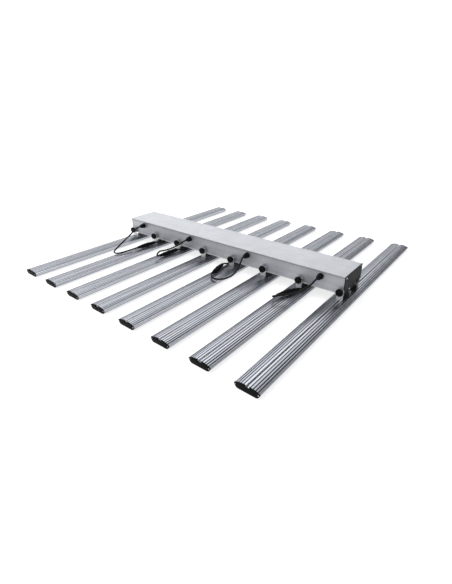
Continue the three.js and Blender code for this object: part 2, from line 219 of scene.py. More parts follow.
class Finish:
    """One procedural material, and the few nodes that these finishes are made of."""

    def __init__(self, name, metallic, roughness, specular=0.5):
        self.material = bpy.data.materials.new(name)
        self.material.use_nodes = True
        self.tree = self.material.node_tree
        self.shader = self.tree.nodes["Principled BSDF"]
        self.shader.inputs["Metallic"].default_value = metallic
        self.shader.inputs["Roughness"].default_value = roughness
        self.shader.inputs["Specular IOR Level"].default_value = specular
        self.place = self.tree.nodes.new("ShaderNodeTexCoord").outputs["Object"]

    def link(self, source, target):
        self.tree.links.new(source, target)

    def stretched(self, scale, offset=(0, 0, 0)):
        node = self.tree.nodes.new("ShaderNodeMapping")
        node.inputs["Scale"].default_value = scale
        node.inputs["Location"].default_value = offset
        self.link(self.place, node.inputs["Vector"])
        return node.outputs["Vector"]

    def noise(self, vector, scale=1.0, detail=3.0, roughness=0.5):
        node = self.tree.nodes.new("ShaderNodeTexNoise")
        node.inputs["Scale"].default_value = scale
        node.inputs["Detail"].default_value = detail
        node.inputs["Roughness"].default_value = roughness
        self.link(vector, node.inputs["Vector"])
        return node.outputs["Fac"]

    def cells(self, scale):
        node = self.tree.nodes.new("ShaderNodeTexVoronoi")
        node.inputs["Scale"].default_value = scale
        self.link(self.place, node.inputs["Vector"])
        return node.outputs["Distance"]

    def ranged(self, value, low, high, to_low, to_high):
        return mapped(self.tree, value, (low, high, to_low, to_high))

    def maths(self, operation, a, b):
        return calculated(self.tree, operation, a, b)

    def colours(self, factor, stops):
        """A ramp between two colours, each given with its position."""
        node = self.tree.nodes.new("ShaderNodeValToRGB")
        for element, (position, colour) in zip(node.color_ramp.elements, stops):
            element.position = position
            element.color = (*colour, 1)
        self.link(factor, node.inputs["Fac"])
        return node.outputs["Color"]

    def mixed(self, factor, a, b):
        node = self.tree.nodes.new("ShaderNodeMix")
        node.data_type = "RGBA"
        self.link(factor, node.inputs["Factor"])
        for socket, value in zip((node.inputs[6], node.inputs[7]), (a, b)):
            if isinstance(value, tuple):
                socket.default_value = (*value, 1)
            else:
                self.link(value, socket)
        return node.outputs[2]

    def edges(self, radius, low=0.05, high=0.5):
        """High where the surface turns sharply within the radius, for worn edges."""
        bevel = self.tree.nodes.new("ShaderNodeBevel")
        bevel.samples = 4
        bevel.inputs["Radius"].default_value = radius
        geometry = self.tree.nodes.new("ShaderNodeNewGeometry")
        dot = self.tree.nodes.new("ShaderNodeVectorMath")
        dot.operation = "DOT_PRODUCT"
        self.link(bevel.outputs["Normal"], dot.inputs[0])
        self.link(geometry.outputs["True Normal"], dot.inputs[1])
        return self.ranged(dot.outputs["Value"], 1 - low, 1 - high, 0, 1)

    def bumped(self, height, strength, distance, normal=None):
        node = self.tree.nodes.new("ShaderNodeBump")
        node.inputs["Strength"].default_value = strength
        node.inputs["Distance"].default_value = distance
        self.link(height, node.inputs["Height"])
        if normal is not None:
            self.link(normal, node.inputs["Normal"])
        return node.outputs["Normal"]

    def rounded(self, radius):
        """A shading normal that rounds the sharp edges of a CAD solid."""
        bevel = self.tree.nodes.new("ShaderNodeBevel")
        bevel.samples = 4
        bevel.inputs["Radius"].default_value = radius
        return bevel.outputs["Normal"]

    def below_and_behind(self, height, front):
        """1 where the surface is below a height and behind a place along Y in metres, 0 elsewhere."""
        parts = self.tree.nodes.new("ShaderNodeSeparateXYZ")
        self.link(self.place, parts.inputs["Vector"])
        below = self.maths("LESS_THAN", parts.outputs["Z"], height)
        behind = self.maths("GREATER_THAN", parts.outputs["Y"], front)
        return self.maths("MULTIPLY", below, behind)

    def set(self, socket, source):
        self.link(source, self.shader.inputs[socket])


# Painted shade: the black that darkens the chassis's saddles under the housing.
SADDLE_SHADE_BLACK = ((0.007, 0.008, 0.009), (0.014, 0.015, 0.016))


def grained_metal(
    name, along, tones, roughness, edge_round=None, cloudy=0.35, grazing=1.0, painted_shade=None
):
    """Bare or anodised aluminium with die or brush lines along one axis, clouding and handling marks.

    Cloudy is the clouding's share of the tone. Grazing is how much of a mirror the metal turns into
    when seen along its surface. The painted shade argument holds the height and the place along Y that
    bound a part coloured black as painted shade.
    """
    low, high = tones
    m = Finish(name, metallic=1.0, roughness=0.35)
    m.shader.inputs["Specular Tint"].default_value = (grazing, grazing, grazing, 1)
    across = [900.0, 900.0, 900.0]
    across[along] = 6.0
    lines = m.noise(m.stretched(across), detail=2)
    across[along] = 2.0
    streaks = m.noise(m.stretched([s / 9 for s in across], (3, 1, 2)), detail=3)
    clouds = m.noise(m.place, scale=14, detail=4)
    streak_tone = m.maths("MULTIPLY", streaks, 1 - cloudy)
    cloud_tone = m.maths("MULTIPLY", clouds, cloudy)
    tone = m.maths("ADD", streak_tone, cloud_tone)
    base = m.colours(tone, [(0.32, low), (0.68, high)])
    # The saddles are darkened to black as painted shade under the housing.
    if painted_shade:
        shade_area = m.below_and_behind(*painted_shade)
        shade_tone = m.colours(clouds, [(0.3, SADDLE_SHADE_BLACK[0]), (0.7, SADDLE_SHADE_BLACK[1])])
        base = m.mixed(shade_area, base, shade_tone)
        m.set("Metallic", m.ranged(shade_area, 0, 1, 1, 0))
    m.set("Base Color", base)
    smudges = m.noise(m.place, scale=32, detail=5, roughness=0.65)
    fine_shine = m.ranged(lines, 0.3, 0.7, -0.05, 0.05)
    broad_shine = m.ranged(smudges, 0.3, 0.75, *roughness)
    m.set("Roughness", m.maths("ADD", fine_shine, broad_shine))
    normal = m.rounded(edge_round) if edge_round else None
    m.set("Normal", m.bumped(lines, 0.12, 0.00012, normal))
    return m.material


def moulded_plastic(name, dark, worn, roughness, grain=2600, edge=0.0004, specular=0.05):
    """Moulded plastic with a fine spark texture, slightly paler on its handled edges."""
    m = Finish(name, metallic=0.0, roughness=0.5, specular=specular)
    clouds = m.noise(m.place, scale=90, detail=4)
    base = m.colours(clouds, [(0.3, dark), (0.75, tuple(c * 1.6 for c in dark))])
    patchy = m.noise(m.place, scale=420, detail=3)
    wear = m.maths("MULTIPLY", m.edges(edge), m.ranged(patchy, 0.35, 0.7, 0.1, 0.8))
    m.set("Base Color", m.mixed(wear, base, worn))
    texture = m.noise(m.place, scale=grain, detail=2)
    broad_shine = m.ranged(clouds, 0.3, 0.7, *roughness)
    fine_shine = m.ranged(texture, 0.3, 0.7, -0.04, 0.04)
    m.set("Roughness", m.maths("ADD", broad_shine, fine_shine))
    m.set("Normal", m.bumped(texture, 0.25, 0.00008))
    return m.material


def powder_coat(name, dark, worn, roughness):
    """Powder-coated metal: an orange-peel skin, with the coat rubbed thin on its edges."""
    m = Finish(name, metallic=0.0, roughness=0.45, specular=0.07)
    clouds = m.noise(m.place, scale=30, detail=4)
    base = m.colours(clouds, [(0.3, dark), (0.7, tuple(c * 1.35 for c in dark))])
    patchy = m.noise(m.place, scale=260, detail=4)
    wear = m.maths("MULTIPLY", m.edges(0.0006), m.ranged(patchy, 0.45, 0.7, 0.0, 0.9))
    m.set("Base Color", m.mixed(wear, base, worn))
    peel = m.cells(900)
    m.set("Roughness", m.ranged(clouds, 0.3, 0.7, *roughness))
    m.set("Normal", m.bumped(peel, 0.3, 0.0001, m.rounded(0.0005)))
    return m.material


def cable_jacket():
    """A dull rubber jacket with scuffs and a little dust."""
    m = Finish("cable_jacket", metallic=0.0, roughness=0.6, specular=0.12)
    clouds = m.noise(m.place, scale=60, detail=5)
    scuffs = m.noise(m.stretched((500, 160, 500)), detail=3)
    base = m.colours(clouds, [(0.35, (0.005, 0.0055, 0.006)), (0.7, (0.009, 0.0095, 0.010))])
    m.set("Base Color", m.mixed(m.ranged(scuffs, 0.62, 0.8, 0, 0.35), base, (0.03, 0.03, 0.03)))
    m.set("Roughness", m.ranged(scuffs, 0.3, 0.75, 0.42, 0.68))
    m.set("Normal", m.bumped(m.noise(m.place, scale=1500, detail=2), 0.2, 0.0001))
    return m.material


def screw_steel():
    """Zinc-plated steel with a patchy sheen and a fine grain."""
    m = Finish("screw_steel", metallic=1.0, roughness=0.3)
    patches = m.noise(m.place, scale=350, detail=4)
    m.set("Base Color", m.colours(patches, [(0.3, (0.52, 0.53, 0.53)), (0.7, (0.72, 0.72, 0.70))]))
    m.set("Roughness", m.ranged(patches, 0.3, 0.7, 0.22, 0.42))
    m.set("Normal", m.bumped(m.noise(m.place, scale=2500), 0.15, 0.00005))
    return m.material


def passivated_steel():
    """Yellow-passivated steel, dull and coppery."""
    m = Finish("passivated_steel", metallic=1.0, roughness=0.4)
    patches = m.noise(m.place, scale=300, detail=4)
    m.set("Base Color", m.colours(patches, [(0.3, (0.11, 0.086, 0.066)), (0.7, (0.20, 0.158, 0.115))]))
    m.set("Roughness", m.ranged(patches, 0.3, 0.7, 0.5, 0.32))
    m.set("Normal", m.bumped(m.noise(m.place, scale=2500), 0.15, 0.00005))
    return m.material


def solder_mask():
    """White solder mask with copper areas showing through as a slight relief."""
    m = Finish("led_board_white", metallic=0.0, roughness=0.35, specular=0.5)
    clouds = m.noise(m.place, scale=24, detail=3)
    m.set("Base Color", m.colours(clouds, [(0.3, (0.80, 0.81, 0.79)), (0.7, (0.88, 0.88, 0.86))]))
    m.set("Roughness", m.ranged(clouds, 0.3, 0.7, 0.3, 0.42))
    relief = m.noise(m.stretched((180, 40, 180)), detail=0)
    m.set("Normal", m.bumped(m.ranged(relief, 0.48, 0.52, 0, 1), 0.4, 0.00005))
    return m.material


def phosphor():
    """The yellow phosphor window of an unlit LED."""
    m = Finish("led_phosphor", metallic=0.0, roughness=0.35, specular=0.5)
    grains = m.noise(m.place, scale=3000, detail=2)
    m.set("Base Color", m.colours(grains, [(0.3, (0.80, 0.52, 0.05)), (0.7, (0.92, 0.68, 0.12))]))
    m.set("Roughness", m.ranged(grains, 0.3, 0.7, 0.3, 0.5))
    m.set("Normal", m.bumped(grains, 0.2, 0.00004))
    return m.material


# The axes that the grain can run along.
ALONG_X = 0
ALONG_Y = 1
# The chassis is coloured black below its plate and behind its tabs, in metres: that is, on its saddles,
# as painted shade under the housing.
SHADED_SADDLES = (0.0398, -0.06)

BAR_METAL = grained_metal(
    "bar_aluminium", ALONG_Y, ((0.37, 0.388, 0.43), (0.56, 0.578, 0.62)), (0.24, 0.30),
    cloudy=0.1, grazing=0.45,
)
# The grooves' darker metal is painted shade: it darkens the recesses where shade falls.
GROOVE_SHADE_METAL = grained_metal(
    "bar_grooves_painted_shade", ALONG_Y, ((0.20, 0.212, 0.24), (0.28, 0.292, 0.325)), (0.34, 0.42),
    cloudy=0.2, grazing=0.3,
)
# The slot's paler metal is a painted highlight: it lightens the slot as if it were lit.
SLOT_HIGHLIGHT_METAL = grained_metal(
    "bar_slot_painted_highlight", ALONG_Y, ((0.70, 0.71, 0.73), (0.82, 0.83, 0.84)), (0.3, 0.4),
    cloudy=0.2, grazing=0.5,
)
# The chassis's saddles are coloured black as painted shade.
CHASSIS_METAL = grained_metal(
    "chassis_aluminium", ALONG_X, ((0.52, 0.53, 0.54), (0.66, 0.66, 0.67)), (0.3, 0.44), 0.0005,
    painted_shade=SHADED_SADDLES,
)
HOUSING_METAL = grained_metal(
    "housing_aluminium", ALONG_X, ((0.345, 0.357, 0.38), (0.42, 0.432, 0.455)), (0.40, 0.50), 0.0006
)
DRIVER_METAL = grained_metal(
    "driver_case", ALONG_X, ((0.38, 0.4, 0.42), (0.5, 0.52, 0.54)), (0.35, 0.5), 0.0008
)
CAP_PLASTIC = moulded_plastic(
    "cap_plastic", (0.002, 0.0023, 0.0026), (0.014, 0.014, 0.015), (0.5, 0.62)
)
KNOB_PLASTIC = moulded_plastic(
    "knob_plastic", (0.003, 0.0034, 0.0036), (0.02, 0.02, 0.02), (0.44, 0.58)
)
GLAND_PLASTIC = moulded_plastic(
    "gland_plastic", (0.0045, 0.005, 0.0055), (0.025, 0.025, 0.027), (0.42, 0.56)
)
CONNECTOR_PLASTIC = moulded_plastic(
    "connector_plastic", (0.004, 0.0045, 0.005), (0.025, 0.025, 0.025), (0.44, 0.58)
)
TERMINAL_PLASTIC = moulded_plastic(
    "terminal_plastic", (0.40, 0.37, 0.30), (0.7, 0.68, 0.6), (0.4, 0.55), specular=0.4
)
END_PLATE_PAINT = powder_coat(
    "end_plate_paint", (0.0052, 0.0066, 0.0074), (0.10, 0.105, 0.11), (0.48, 0.62)
)
JACKET = cable_jacket()
STEEL = screw_steel()
YELLOW_STEEL = passivated_steel()
BOARD_WHITE = solder_mask()
PHOSPHOR = phosphor()


def paint(node, material):
    """Gives a node carried over from the CAD its one material."""
    mesh = NODES[node].data
    mesh.materials.clear()
    mesh.materials.append(material)


# ---- Making pieces ----


def piece(name, bm, materials, body=FRAME_BODY, replaces=(), smooth=35):
    """Turns a millimetre bmesh into a named piece in metres that rides on a body."""
    bmesh.ops.scale(bm, vec=(MM, MM, MM), verts=bm.verts)
    mesh = bpy.data.meshes.new(name)
    bm.to_mesh(mesh)
    bm.free()
    mesh.polygons.foreach_set("use_smooth", [True] * len(mesh.polygons))
    mesh.set_sharp_from_angle(angle=math.radians(smooth))
    for material in materials:
        mesh.materials.append(material)
    obj = bpy.data.objects.new(name, mesh)
    bpy.context.scene.collection.objects.link(obj)
    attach(obj, body)
    if replaces:
        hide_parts(*replaces)
    return obj


def turned(bm, profile, place=Matrix(), sides=48, shape=None, material=0):
    """Turns a profile of (radius, height) rows about the local Z axis.

    A row may have a third value, which says how strongly the shape applies to it. The shape gives the
    share of the radius that is kept at an angle.
    """
    rings = []
    for row in profile:
        radius, height = row[0], row[1]
        strength = row[2] if len(row) > 2 else 0
        if radius == 0:
            rings.append([bm.verts.new(place @ Vector((0, 0, height)))])
            continue
        ring = []
        for i in range(sides):
            angle = 2 * math.pi * i / sides
            r = radius * (1 - strength * (1 - shape(angle))) if strength else radius
            corner = Vector((r * math.cos(angle), r * math.sin(angle), height))
            ring.append(bm.verts.new(place @ corner))
        rings.append(ring)
    for a, b in zip(rings, rings[1:]):
        for i in range(sides):
            j = (i + 1) % sides
            corners = [a[i % len(a)], a[j % len(a)], b[j % len(b)], b[i % len(b)]]
            kept = list(dict.fromkeys(corners))
            bm.faces.new(kept).material_index = material


def hexagon(angle):
    """A hexagon's share of its corner radius at an angle."""
    sixth = math.pi / 3
    from_flat = (angle + sixth / 2) % sixth - sixth / 2
    return math.cos(sixth / 2) / math.cos(from_flat)


def fluted(count, depth):
    """Rounded grip flutes: crests at full radius and dips below it."""
    return lambda angle: 1 - depth * (0.5 - 0.5 * math.cos(count * angle)) ** 0.8


def recalculated(bm):
    """The same mesh with its faces turned outwards."""
    bmesh.ops.recalc_face_normals(bm, faces=bm.faces)
    return bm


def looking(direction, at):
    """A matrix that takes local Z to the direction, placed at a point."""
    turn = Vector(direction).to_track_quat("Z", "Y").to_matrix().to_4x4()
    return Matrix.Translation(Vector(at)) @ turn


def screw_head(bm, place, radius, height, material=0):
    """A pan head with a hexagon socket, seated at the local origin and standing up along Z."""
    socket = radius * 0.5
    profile = [
        (0, 0.02),
        (radius, 0),
        (radius, height * 0.35),
        (radius * 0.93, height * 0.72),
        (radius * 0.72, height),
        (socket * 1.12, height),
        (socket, height * 0.9, 1),
        (socket * 0.96, height * 0.25, 1),
        (0, height * 0.2),
    ]
    turned(bm, profile, place, sides=24, shape=hexagon, material=material)


# ---- Bars ----

# The section of a bar, as distances from its middle and heights. A groove's row is its distance, width
# and depth. The recess for the board has a half width and a depth.
DOME_EDGE = (33, 14)
DOME_POWER = 2.6
SLOT = {"half_mouth": 2.8, "half_width": 5.6, "lip_z": 17.6, "floor_z": 13.6}
GROOVES = [(9, 3, 1.8), (16.5, 2.8, 2.2), (23, 3.2, 3), (29, 3.2, 3)]
SIDE = [(24.5, 0), (28.2, 1.4), (31.5, 4.3), (33.8, 7.9), (35, 11.9), (34.5, 13.2), DOME_EDGE]
RECESS = (20.4, 2.8)
AIR_CHANNEL = [
    (1.1, 5), (27.5, 4.6), (30.8, 7.4), (31.4, 9.6), (26.5, 9.9),
    (20, 11.9), (14, 14), (7.7, 15.3), (7.7, 11.4), (1.1, 11),
]


def dome_z(x):
    """The dome's height at a distance from the bar's middle."""
    edge_x, edge_z = DOME_EDGE
    return BAR_HEIGHT - (BAR_HEIGHT - edge_z) * (abs(x) / edge_x) ** DOME_POWER


def smooth_side():
    """The rounded side as a smooth line from the underside up to the dome's edge."""
    points = centripetal([Vector((x, z, 0)) for x, z in SIDE], per_segment=5)
    return [(p.x, p.y) for p in points]


def dome_stretch(x0, x1, step=1.0):
    """Points along the dome from one distance to another, about a step apart."""
    count = max(1, round(abs(x1 - x0) / step))
    places = [x0 + (x1 - x0) * i / count for i in range(count + 1)]
    return [(x, dome_z(x)) for x in places]


# How far the rounding of a groove's lip reaches, how far its walls lean in, and its floor's corners.
GROOVE_LIP = 0.28
GROOVE_TAPER = 0.35
GROOVE_CORNER = 0.3


def grooved_dome():
    """From the dome's edge in towards the slot, down into each groove and up again."""
    lip, taper, corner = GROOVE_LIP, GROOVE_TAPER, GROOVE_CORNER
    points = []
    start = DOME_EDGE[0]
    for x, width, depth in reversed(GROOVES):
        far, near = x + width / 2, x - width / 2
        floor = dome_z(x) - depth
        points += dome_stretch(start, far + lip)[1:]
        points += [
            (far + 0.05, dome_z(far) - lip * 0.35),
            (far - 0.04, dome_z(far) - lip * 1.2),
            (far - taper, floor + taper),
            (far - taper - corner, floor),
            (near + taper + corner, floor),
            (near + taper, floor + taper),
            (near + 0.04, dome_z(near) - lip * 1.2),
            (near - 0.05, dome_z(near) - lip * 0.35),
        ]
        start = near - lip
        points.append((start, dome_z(start)))
    points += dome_stretch(start, SLOT["half_mouth"] + lip)[1:]
    return points


def slot_side():
    """From the slot's mouth down its right side to its floor, with every corner eased."""
    mouth, width = SLOT["half_mouth"], SLOT["half_width"]
    lip_z, floor_z = SLOT["lip_z"], SLOT["floor_z"]
    ease = 0.3
    return [
        (mouth + 0.08, dome_z(mouth) - 0.08),
        (mouth, dome_z(mouth) - ease),
        (mouth, lip_z + 0.2),
        (mouth + 0.2, lip_z),
        (width - ease, lip_z),
        (width, lip_z - ease),
        (width, floor_z + ease),
        (width - ease, floor_z),
    ]


def bar_outline():
    """The whole section: the recess for the board, the rounded sides, the grooved dome and the slot."""
    half_recess, ceiling = RECESS
    recess = [(half_recess, ceiling), (half_recess, 0.25), (half_recess + 0.25, 0)]
    right = recess + smooth_side() + grooved_dome() + slot_side()
    left = [(-x, z) for x, z in reversed(right)]
    return right + left


def prism(bm, outline, holes, y0, y1):
    """A solid between two planes across Y, from an outline and its holes in the XZ plane."""
    loops = [outline, *holes]
    flat = [Vector((x, z, 0)) for loop in loops for x, z in loop]
    triangles = tessellate_polygon([[Vector((x, z, 0)) for x, z in loop] for loop in loops])
    ends = [[bm.verts.new((p.x, y, p.y)) for p in flat] for y in (y0, y1)]
    for a, b, c in triangles:
        bm.faces.new([ends[0][a], ends[0][b], ends[0][c]])
        bm.faces.new([ends[1][c], ends[1][b], ends[1][a]])
    first = 0
    for loop in loops:
        for i in range(len(loop)):
            a, b = first + i, first + (i + 1) % len(loop)
            bm.faces.new([ends[0][a], ends[0][b], ends[1][b], ends[1][a]])
        first += len(loop)
    return recalculated(bm)


def moved(bm, offset):
    """Shifts a mesh by an offset."""
    bmesh.ops.translate(bm, vec=offset, verts=bm.verts)


def bar_finish(face):
    """Which of the bar's materials a face has: 0 on ridges and sides, 1 in the grooves as painted shade,
    2 in the slot as a painted highlight.
    """
    middle = face.calc_center_median()
    from_centre = abs(middle.x)
    runs_along = abs(face.normal.y) < 0.1
    deepest, shallowest = SLOT["floor_z"] - 1.5, dome_z(middle.x) - 0.7
    below_crown = deepest < middle.z < shallowest
    if not runs_along or not below_crown or from_centre > DOME_EDGE[0] - 2:
        return 0
    # 1 is the grooves' painted shade, 2 is the slot's painted highlight.
    return 2 if from_centre < SLOT["half_width"] + 0.5 else 1


def bar_extrusion(n):
    """A bar's whole length between its caps, in its metal, with painted shade in its grooves and a
    painted highlight in its slot.
    """
    left_channel = [(-x, z) for x, z in reversed(AIR_CHANNEL)]
    half = BAR_LENGTH / 2 - CAP_THICKNESS - GAP
    bm = prism(bmesh.new(), bar_outline(), [AIR_CHANNEL, left_channel], -half, half)
    for face in bm.faces:
        face.material_index = bar_finish(face)
    moved(bm, (bar_x(n), 0, 0))
    metals = [BAR_METAL, GROOVE_SHADE_METAL, SLOT_HIGHLIGHT_METAL]
    piece(f"bar_{n}", bm, metals, replaces=[f"heat_sink_{n}"])


CAP_SCREWS = [(-31.2, 10.4), (31.2, 10.4)]
CAP_SCREW = {"radius": 2.0, "height": 1.05, "sunk": 0.9}
CAP_NOTCH = {"half_width": 6.2, "floor_z": 15}
CAP_RIM = 0.7


def cap_outline():
    """The bar's outer shape without its grooves, with a notch over the slot."""
    notch_x, notch_z = CAP_NOTCH["half_width"], CAP_NOTCH["floor_z"]
    crown = dome_stretch(DOME_EDGE[0], notch_x + 0.4, 2.0)[1:]
    notch = [(notch_x, dome_z(notch_x) - 0.4), (notch_x, notch_z + 0.5), (notch_x - 0.5, notch_z)]
    right = smooth_side() + crown + notch
    return right + [(-x, z) for x, z in reversed(right)]


def is_inner(edge):
    """True for an edge between two coplanar faces, such as a triangulated cap's diagonals."""
    return len(edge.link_faces) == 2 and edge.calc_face_angle(0) < 0.01


def soften_rim(bm, y):
    """Rounds the outline's edges in the plane across Y."""
    flat = [edge for edge in bm.edges if all(abs(v.co.y - y) < 1e-4 for v in edge.verts)]
    rim = [edge for edge in flat if not is_inner(edge)]
    bmesh.ops.bevel(bm, geom=rim, offset=CAP_RIM, segments=3, profile=0.5, affect="EDGES")


def end_cap(n, end):
    """A flat moulded cap with a softened outer rim and a countersunk screw near each tip."""
    outer = end * BAR_LENGTH / 2
    inner = outer - end * CAP_THICKNESS
    bm = prism(bmesh.new(), cap_outline(), [], inner, outer)
    soften_rim(bm, outer)
    for x, z in CAP_SCREWS:
        place = looking((0, end, 0), (x, outer - end * CAP_SCREW["sunk"], z))
        screw_head(bm, place, CAP_SCREW["radius"], CAP_SCREW["height"], material=1)
    moved(bm, (bar_x(n), 0, 0))
    side = "front" if end < 0 else "rear"
    piece(
        f"cap_{side}_{n}", recalculated(bm), [CAP_PLASTIC, STEEL],
        replaces=[f"end_cap_{side}_{n}"],
    )


LED_PITCH = 13
LED_ROWS = (-9.5, 9.5)
LED_SIZE = 3.0
LED_HEIGHT = 0.6
LED_WINDOW = {"radius": 1.15, "depth": 0.12}
BOARD_BOTTOM = 0.9
BOARD_HALF_LENGTH = 535
BOARD_MARGIN = 12
BOARD_SCREWS = {"count": 8, "pitch": 143, "radius": 2.4, "height": 0.7}
SQUARE = ((1, 1), (-1, 1), (-1, -1), (1, -1))


def led_package(bm, x, y):
    """A white package hanging under the board with a round phosphor window in its face."""
    half = LED_SIZE / 2
    low = BOARD_BOTTOM - LED_HEIGHT
    top = [bm.verts.new((x + i * half, y + j * half, BOARD_BOTTOM)) for i, j in SQUARE]
    rim = [bm.verts.new((x + i * half, y + j * half, low)) for i, j in SQUARE]
    for i in range(4):
        j = (i + 1) % 4
        bm.faces.new([top[i], top[j], rim[j], rim[i]])
    bm.faces.new(top)
    window = []
    for i in range(8):
        angle = math.pi / 4 * (i + 0.5)
        across = LED_WINDOW["radius"] * math.cos(angle)
        up = LED_WINDOW["radius"] * math.sin(angle)
        window.append(bm.verts.new((x + across, y + up, low)))
    for i in range(4):
        a, b = window[(2 * i) % 8], window[(2 * i + 1) % 8]
        c = window[(2 * i + 2) % 8]
        bm.faces.new([rim[i], b, a])
        bm.faces.new([rim[i], rim[(i + 1) % 4], c, b])
    centre = bm.verts.new((x, y, low + LED_WINDOW["depth"]))
    for i in range(8):
        bm.faces.new([window[i], window[(i + 1) % 8], centre]).material_index = 1


def led_chips(n):
    """Two rows of packages along a bar's board."""
    bm = bmesh.new()
    count = int(2 * (BOARD_HALF_LENGTH - BOARD_MARGIN) // LED_PITCH)
    for i in range(count + 1):
        y = (i - count / 2) * LED_PITCH
        for x in LED_ROWS:
            led_package(bm, bar_x(n) + x, y)
    piece(f"led_chips_{n}", recalculated(bm), [BOARD_WHITE, PHOSPHOR])


def board_screws(n):
    """The screws along the middle of a bar's board."""
    bm = bmesh.new()
    for i in range(BOARD_SCREWS["count"]):
        y = (i - (BOARD_SCREWS["count"] - 1) / 2) * BOARD_SCREWS["pitch"]
        place = looking((0, 0, -1), (bar_x(n), y, BOARD_BOTTOM))
        screw_head(bm, place, BOARD_SCREWS["radius"], BOARD_SCREWS["height"])
    piece(f"board_screws_{n}", recalculated(bm), [STEEL])


for number in range(1, BAR_COUNT + 1):
    bar_extrusion(number)
    end_cap(number, -1)
    end_cap(number, 1)
    led_chips(number)
    board_screws(number)
    paint(f"led_board_{number}", BOARD_WHITE)

# ---- Housing ----

paint("base_chassis", CHASSIS_METAL)
paint("housing_cover", HOUSING_METAL)
paint("led_driver_left", DRIVER_METAL)
paint("led_driver_right", DRIVER_METAL)
paint("terminal_block", TERMINAL_PLASTIC)
paint("end_plate_left", END_PLATE_PAINT)
paint("end_plate_right", END_PLATE_PAINT)


# Places on the end plates, along Y and up.
END_SCREWS = [(-60, 94.5), (60, 94.5), (60, 46.5), (-25, 46.5)]
END_SCREW = {"radius": 2.9, "height": 1.6}
EARTH_SCREW = (20, 47)
BLANKING_PLUG = (37, 49)


def end_plate_screws(side):
    """The screws that hold one end plate."""
    bm = bmesh.new()
    x = side * HOUSING_HALF_LENGTH
    for y, z in END_SCREWS:
        place = looking((side, 0, 0), (x, y, z))
        screw_head(bm, place, END_SCREW["radius"], END_SCREW["height"])
    name = "left" if side < 0 else "right"
    piece(f"end_plate_screws_{name}", recalculated(bm), [STEEL])


def earth_screw():
    """A yellow-passivated bonding screw on its toothed washer."""
    place = looking((1, 0, 0), (HOUSING_HALF_LENGTH, *EARTH_SCREW))
    thickness = 0.6
    bm = bmesh.new()
    washer = [(2.5, 0.02), (4.9, 0.02, 1), (4.9, thickness, 1), (2.5, thickness), (2.5, 0.02)]
    turned(bm, washer, place, sides=96, shape=fluted(16, 0.12))
    screw_head(bm, place @ Matrix.Translation((0, 0, thickness)), 3.7, 1.7)
    piece("earth_screw", recalculated(bm), [YELLOW_STEEL])


def blanking_plug():
    """A rubber plug in the spare cable hole."""
    place = looking((1, 0, 0), (HOUSING_HALF_LENGTH, *BLANKING_PLUG))
    profile = [(0, 0.02), (6.4, 0.02), (6.5, 0.7), (6.0, 1.3), (4.4, 1.6), (3.9, 1.2), (0, 1.1)]
    bm = bmesh.new()
    turned(bm, profile, place)
    piece("blanking_plug", recalculated(bm), [GLAND_PLASTIC])


end_plate_screws(-1)
end_plate_screws(1)
earth_screw()
blanking_plug()

SEAM = {"top": 95.4, "height": 1.4, "depth": 0.6}
# The strip is a painted shadow: a dark sheet set in the seam to darken the line under the cover's top
# edge.
SHADOW_STRIP = {"below_face": 0.12, "clearance": 0.05, "slope": 0.25}


def lid_shadow_strip(side):
    """A dark strip in the groove below the cover's top edge, as a painted shadow line."""
    face = side * (-FRONT_Y)
    y0, y1 = face - side * SEAM["depth"], face - side * SHADOW_STRIP["below_face"]
    low = SEAM["top"] - SEAM["height"] + SHADOW_STRIP["clearance"]
    high = SEAM["top"] - SHADOW_STRIP["clearance"]
    x = HOUSING_HALF_LENGTH - END_PLATE_THICKNESS - GAP
    bm = bmesh.new()
    section = [(y0, low), (y1, low + SHADOW_STRIP["slope"]), (y1, high - SHADOW_STRIP["slope"]), (y0, high)]
    ends = [[bm.verts.new((end, y, z)) for y, z in section] for end in (-x, x)]
    for i in range(4):
        j = (i + 1) % 4
        bm.faces.new([ends[0][i], ends[0][j], ends[1][j], ends[1][i]])
    bm.faces.new(ends[0])
    bm.faces.new(ends[1])
    name = "front" if side < 0 else "back"
    piece(f"lid_shadow_strip_{name}", recalculated(bm), [JACKET])


lid_shadow_strip(-1)
lid_shadow_strip(1)

# ---- Thumbscrews ----

KNOB_RADIUS = 12.3
COLLAR_RADIUS = 8.6
STUD = {"crest": 3.0, "root": 2.55, "half_pitch": 0.5, "turns": 12, "top": 0.4}


def grip_profile():
    """The collar against the tab, the fluted grip and its shallow dished face."""
    return [
        (3.2, 0.1),
        (8.2, 0),
        (COLLAR_RADIUS, 0.5),
        (COLLAR_RADIUS, 1.6),
        (11.6, 2.5, 0.7),
        (KNOB_RADIUS, 3.4, 1),
        (KNOB_RADIUS, 8.8, 1),
        (12.0, 9.9, 0.9),
        (11.1, 10.7, 0.6),
        (9.9, 11.0, 0.2),
        (8.2, 11.0),
        (7.7, 10.6),
        (7.4, 10.1),
        (0, 9.9),
    ]


def stud_profile():
    """A threaded rod from inside the grip down through the tab, as a zigzag of crests and roots."""
    count = 2 * STUD["turns"]
    rows = [(0, 1)]
    for i in range(count + 1):
        radius = STUD["root"] if i % 2 else STUD["crest"]
        rows.append((radius, STUD["top"] - i * STUD["half_pitch"]))
    rows.append((0, -count * STUD["half_pitch"]))
    return rows


def thumb_knob(n):
    """A fluted grip with its threaded stud, on the body that its joint turns."""
    place = looking((0, -1, 0), (bar_x(n), KNOB_BACK_Y, KNOB_Z))
    bm = bmesh.new()
    turned(bm, grip_profile(), place, sides=96, shape=fluted(12, 0.105))
    turned(bm, stud_profile(), place, sides=20, material=1)
    piece(
        f"knob_{n}", recalculated(bm), [KNOB_PLASTIC, STEEL],
        body=f"knob_{n}", replaces=[f"thumb_knob_{n}"], smooth=40,
    )


for number in range(1, BAR_COUNT + 1):
    thumb_knob(number)

# ---- Glands ----


